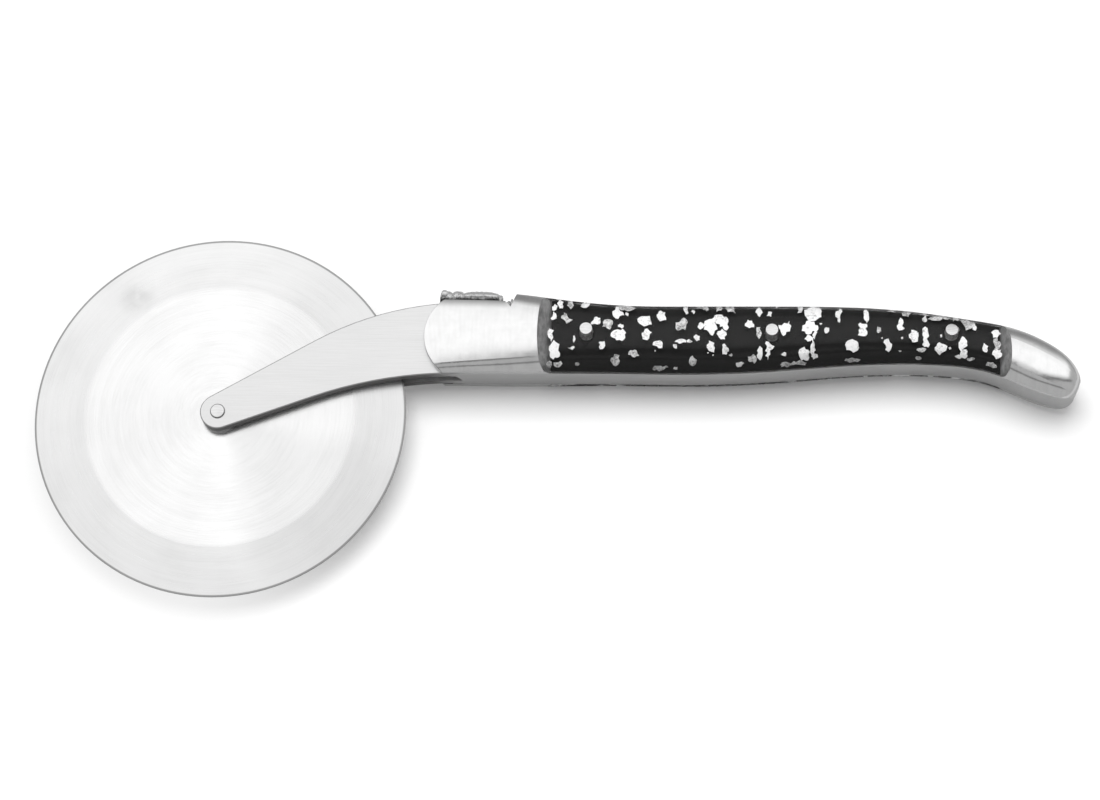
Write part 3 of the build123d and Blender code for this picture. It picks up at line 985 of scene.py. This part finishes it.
def seen_leaf(bm, rng, surface, row, depth):
    """A piece of leaf that the photograph shows."""
    across, down, wide, high = row[:4]
    look = row[4] if len(row) > 4 else BRIGHT
    middle, ray = on_scale(surface, across, down)
    if middle is None:
        return 0
    ring = []
    for right, below in ragged(rng, wide, high):
        for shrink in SHRINKS:
            hit, line = on_scale(surface, across + right * shrink, down + below * shrink)
            if hit is not None and (hit - middle).length < LEAF_REACH:
                ring.append(hit + line * depth)
                break
    if len(ring) < 3:
        return 0
    add_leaf(bm, rng, ring, middle + ray * depth, ray, look)
    return 1


rng = random.Random(LEAF_SEED)
leaf_bm = bmesh.new()
placed = 0
for count, row in enumerate(LEAF_PIECES):
    depth = LEAF_DEPTH + LEAF_DEPTH_STEP * (count % LEAF_LAYERS)
    placed += seen_leaf(leaf_bm, rng, front_surface, row, depth)
back_bm = bmesh.new()
for row in BACK_PIECES:
    placed += seen_leaf(back_bm, rng, back_surface, row, LEAF_DEPTH)
print(placed, "pieces of leaf follow the photograph")

# %% [markdown]
# The photograph shows neither the back scale nor the flanks, but the same leaf must be in
# them. Points are drawn over the scale's faces with a seeded die, by area, and a ragged
# piece is laid on each, pressed onto the surface and sunk like the others. On the front
# scale only faces that look away from the camera get such pieces.

# %% Scattered leaf on the back and the flanks
SCATTER_PER_AREA = 0.062
SCATTER_SIZES = (1.0, 1.4, 1.9, 2.3, 2.7, 3.2)
SCATTER_STRETCH = (0.75, 1.25)
SCATTER_LOOKS = (BRIGHT, BRIGHT, SHADED)
# A face takes leaf unless it looks toward the liner or along the handle, or is by a pin
LOWEST_FACING = -0.05
END_FACING = 0.5
AWAY_FACING = 0.10
PIN_CLEARANCE = 1.45 * MM


def leaf_ground(name, source, hidden_only):
    """Corners, normal and area of the faces of a scale that take scattered leaf."""
    side = side_of(name)
    faces, areas = [], []
    for face in source.faces:
        middle = face.calc_center_median()
        outside = side * face.normal.z > LOWEST_FACING and abs(face.normal.x) < END_FACING
        by_pin = any((middle.xy - Vector(pin) * MM).length < PIN_CLEARANCE for pin in PIN_PLACES)
        away = face.normal.dot((CAMERA_PLACE - middle).normalized()) < AWAY_FACING
        if outside and not by_pin and (away or not hidden_only):
            corners = [vert.co.copy() for vert in face.verts]
            faces.append((*corners, face.normal.copy()))
            areas.append(face.calc_area())
    return faces, areas


def scatter_leaf(bm, rng, name, surface, hidden_only):
    """Seeded pieces over a scale's outer faces."""
    source = scale_bmesh(name)
    bmesh.ops.triangulate(source, faces=source.faces)
    faces, areas = leaf_ground(name, source, hidden_only)
    source.free()
    count = int(SCATTER_PER_AREA * sum(areas) / MM ** 2)
    for number, (a, b, c, normal) in enumerate(rng.choices(faces, areas, k=count)):
        u, v = sorted((rng.random(), rng.random()))
        middle = a * u + b * (v - u) + c * (1 - v)
        size = rng.choice(SCATTER_SIZES)
        wide, high = size * rng.uniform(*SCATTER_STRETCH), size * rng.uniform(*SCATTER_STRETCH)
        right = normal.orthogonal().normalized()
        ahead = normal.cross(right)
        depth = LEAF_DEPTH + LEAF_DEPTH_STEP * (number % LEAF_LAYERS)
        ring = []
        for across, down in ragged(rng, wide, high):
            point = middle + (right * across + ahead * down) * MM
            near, near_normal, _, _ = surface.find_nearest(point)
            ring.append(near - near_normal * depth)
        add_leaf(bm, rng, ring, middle - normal * depth, normal, rng.choice(SCATTER_LOOKS))
    return count


def leaf_piece(bm, name):
    """The finished leaf of one scale."""
    bmesh.ops.recalc_face_normals(bm, faces=bm.faces)
    piece = mesh_piece(name, bm, leaf_bright, smooth=False)
    piece.data.materials.append(leaf_shaded)
    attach(piece, "handle")
    print(piece.name, "has", len(piece.data.polygons), "faces")


placed = scatter_leaf(leaf_bm, rng, "front_scale", front_surface, hidden_only=True)
leaf_piece(leaf_bm, "front_leaf")
placed_back = scatter_leaf(back_bm, rng, "back_scale", back_surface, hidden_only=False)
leaf_piece(back_bm, "back_leaf")
print(placed, "pieces scattered on the front scale and", placed_back, "on the back scale")

# %% [markdown]
# The bee on the spine is a small casting: a head with two eyes, a furry body, a ringed
# tail and two folded wings on a narrow base, all filed to nearly one level on top. Each
# lobe is made of rings of points along its length. The rings' size follows a rounded box
# rather than a circle, so the lobe is blunt at both ends, and a small wave on it gives the
# tail its rings or the body its fur. A boolean union of lobes would gain nothing here,
# because cast forms run into each other anyway, so they just overlap.

# %% Lobes of the casting, in millimetres
BEE_LENGTH = 13.8
BEE_WIDTH = 5.6
BEE_ALONG = Vector((14.6, -0.6, 0)).normalized()
BEE_SIDE = Vector((0, 0, 1))


def bee_point(along, up, side):
    """A place on the bee, in millimetres along its seat, above it and across it."""
    return (BEE_SEAT + BEE_ALONG * along + BEE_UP * up + BEE_SIDE * side) * MM


def bee_lobe(
    bm, middle, half, levels, splay=0.0, across=0.0, wave=None, blunt=2.4, rings=28, around=28
):
    """One lobe: its middle along the seat, half length and width, lowest and highest level."""
    low, high = levels
    turn = math.radians(splay)
    loops = []
    for ring in range(rings + 1):
        share = -math.cos(math.pi * ring / rings)
        size = max(1 - abs(share) ** blunt, 0) ** (1 / blunt)
        loop = []
        for step in range(around):
            angle = math.tau * step / around
            swell = 1 + (wave(share, angle) if wave else 0)
            side = half[1] * size * math.cos(angle) * swell
            up = (low + high) / 2 + (high - low) / 2 * size * math.sin(angle) * swell
            along = half[0] * share
            x = middle + along * math.cos(turn) - side * math.sin(turn)
            z = across + along * math.sin(turn) + side * math.cos(turn)
            loop.append(bm.verts.new(bee_point(x, up, z)))
        loops.append(loop)
    skin_rings(bm, loops)


def tail_rings(share, angle):
    return 0.06 * math.sin(share * 21)


def body_fur(share, angle):
    return 0.05 * math.sin(angle * 9 + share * 7) * math.sin(share * 16)


def wing_veins(share, angle):
    return 0.07 * math.sin(angle * 7) * (1 - share * share) + 0.03 * math.sin(share * 24)


print("the bee's seat is", BEE_LENGTH, "mm long")

# %% [markdown]
# The cast steel is lighter the higher it stands above the seat: height makes the crest
# bright, two noises mottle it, and their sum goes through a steep step. The beads behind
# the bee sit lower, but what lies beyond the bee's tail counts as partly high.

# %% Cast steel
CREST_HEIGHTS = (1.0, 2.9)
BEYOND_TAIL = span(60.4, 61.0)
BEYOND_TAIL_SHARE = 0.8

cast_steel, shader, place = new_material("cast_steel", Metallic=1.0)
skin = grain(place, 2300, detail=5, roughness=0.7)
patch = grain(place, 800, detail=4)
height = place.vector("DOT_PRODUCT", tuple(BEE_UP), out="Value")
seat_height = BEE_SEAT.dot(BEE_UP)
crest = height.step(*span(*(seat_height + rise for rise in CREST_HEIGHTS)))
along, _, _ = place.axes()
crest = crest.most(along.step(*BEYOND_TAIL) * BEYOND_TAIL_SHARE)
tone = (0.34 * crest + 0.42 * skin + 0.42 * patch).step(0.42, 0.78)
feed(
    shader,
    Base_Color=greys(tone, 0.05, 0.92),
    Roughness=0.30 + 0.25 * skin,
    Normal=relief(0.6 * skin + 0.4 * patch, 0.09 * MM),
)
print("cast steel is brightest", CREST_HEIGHTS[1], "mm above the seat")

# %% [markdown]
# The lobes stand along the seat from head to tail: a blunt base, the head, two eyes, the
# body, the tail and the two wings, which splay a little. Their places and sizes are shares
# of the bee's length and width, so the bee can be made longer or wider as a whole.

# %% The bee
# Lowest and highest level of each form above the seat
BASE_LEVELS = (-1.5, 1.4)
HEAD_LEVELS = (0.2, 3.80)
EYE_LEVELS = (1.9, 3.60)
BODY_LEVELS = (0.2, 3.80)
TAIL_LEVELS = (0.2, 3.68)
WING_LEVELS = (0.9, 3.40)


def bee_half(length_share, width_share):
    """Half sizes of a lobe from its shares of the bee."""
    return length_share * BEE_LENGTH, width_share * BEE_WIDTH


bm = bmesh.new()
bee_lobe(bm, 0.50 * BEE_LENGTH, bee_half(0.50, 0.36), BASE_LEVELS, blunt=4)
bee_lobe(bm, 0.105 * BEE_LENGTH, bee_half(0.103, 0.29), HEAD_LEVELS, blunt=3.2)
for side in (-1, 1):
    bee_lobe(
        bm, 0.075 * BEE_LENGTH, bee_half(0.055, 0.10), EYE_LEVELS,
        across=side * 0.24 * BEE_WIDTH, rings=14, around=14,
    )
bee_lobe(
    bm, 0.285 * BEE_LENGTH, bee_half(0.115, 0.34), BODY_LEVELS,
    wave=body_fur, blunt=2.8, rings=48, around=64,
)
bee_lobe(
    bm, 0.665 * BEE_LENGTH, bee_half(0.325, 0.25), TAIL_LEVELS,
    wave=tail_rings, blunt=4.5, rings=72,
)
for side in (-1, 1):
    bee_lobe(
        bm, 0.640 * BEE_LENGTH, bee_half(0.300, 0.18), WING_LEVELS, splay=side * 5,
        across=side * 0.27 * BEE_WIDTH, wave=wing_veins, blunt=3.0, rings=60, around=48,
    )
bmesh.ops.remove_doubles(bm, verts=bm.verts, dist=CUT_DISTANCE)
bmesh.ops.recalc_face_normals(bm, faces=bm.faces)
bee = mesh_piece("bee_casting", bm, cast_steel)
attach(bee, "handle")
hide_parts("spine_bee")
print("bee has", len(bee.data.polygons), "faces")

# %% [markdown]
# Behind the bee's tail the collars have a notch across the spine, and in it the photograph
# shows a small dark ragged form that can't be read at its size. Four cast beads side by
# side fill the notch, each of three lobes that climb toward the scale. They are made like
# the bee's lobes, with the same fur and veins on them.

# %% Beads in the notch
BEADS_ACROSS = (-4.15, -1.4, 1.4, 4.15)
# Place along the seat, half length and width, levels, surface and bluntness of each lobe
BEAD_LOBES = (
    (14.70, (0.95, 1.3), (-0.9, 0.30), body_fur, 2.6),
    (15.35, (0.50, 1.2), (-1.6, 0.65), body_fur, 2.2),
    (15.95, (0.34, 1.0), (-1.7, 1.15), wing_veins, 2.2),
)
BEAD_SIDES = 40

beads_bm = bmesh.new()
for across in BEADS_ACROSS:
    for middle, half, levels, wave, blunt in BEAD_LOBES:
        bee_lobe(
            beads_bm, middle, half, levels,
            across=across, wave=wave, blunt=blunt, around=BEAD_SIDES,
        )
bmesh.ops.remove_doubles(beads_bm, verts=beads_bm.verts, dist=CUT_DISTANCE)
bmesh.ops.recalc_face_normals(beads_bm, faces=beads_bm.faces)
beads = mesh_piece("notch_beads", beads_bm, cast_steel)
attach(beads, "handle")
print("beads in the notch have", len(beads.data.polygons), "faces")

# %% [markdown]
# The box of the frame as it was loaded is written out, in millimetres.

# %% Sizes and the end
print("CAD box", [[round(v / MM, 2) for v in corner] for corner in cad_box])
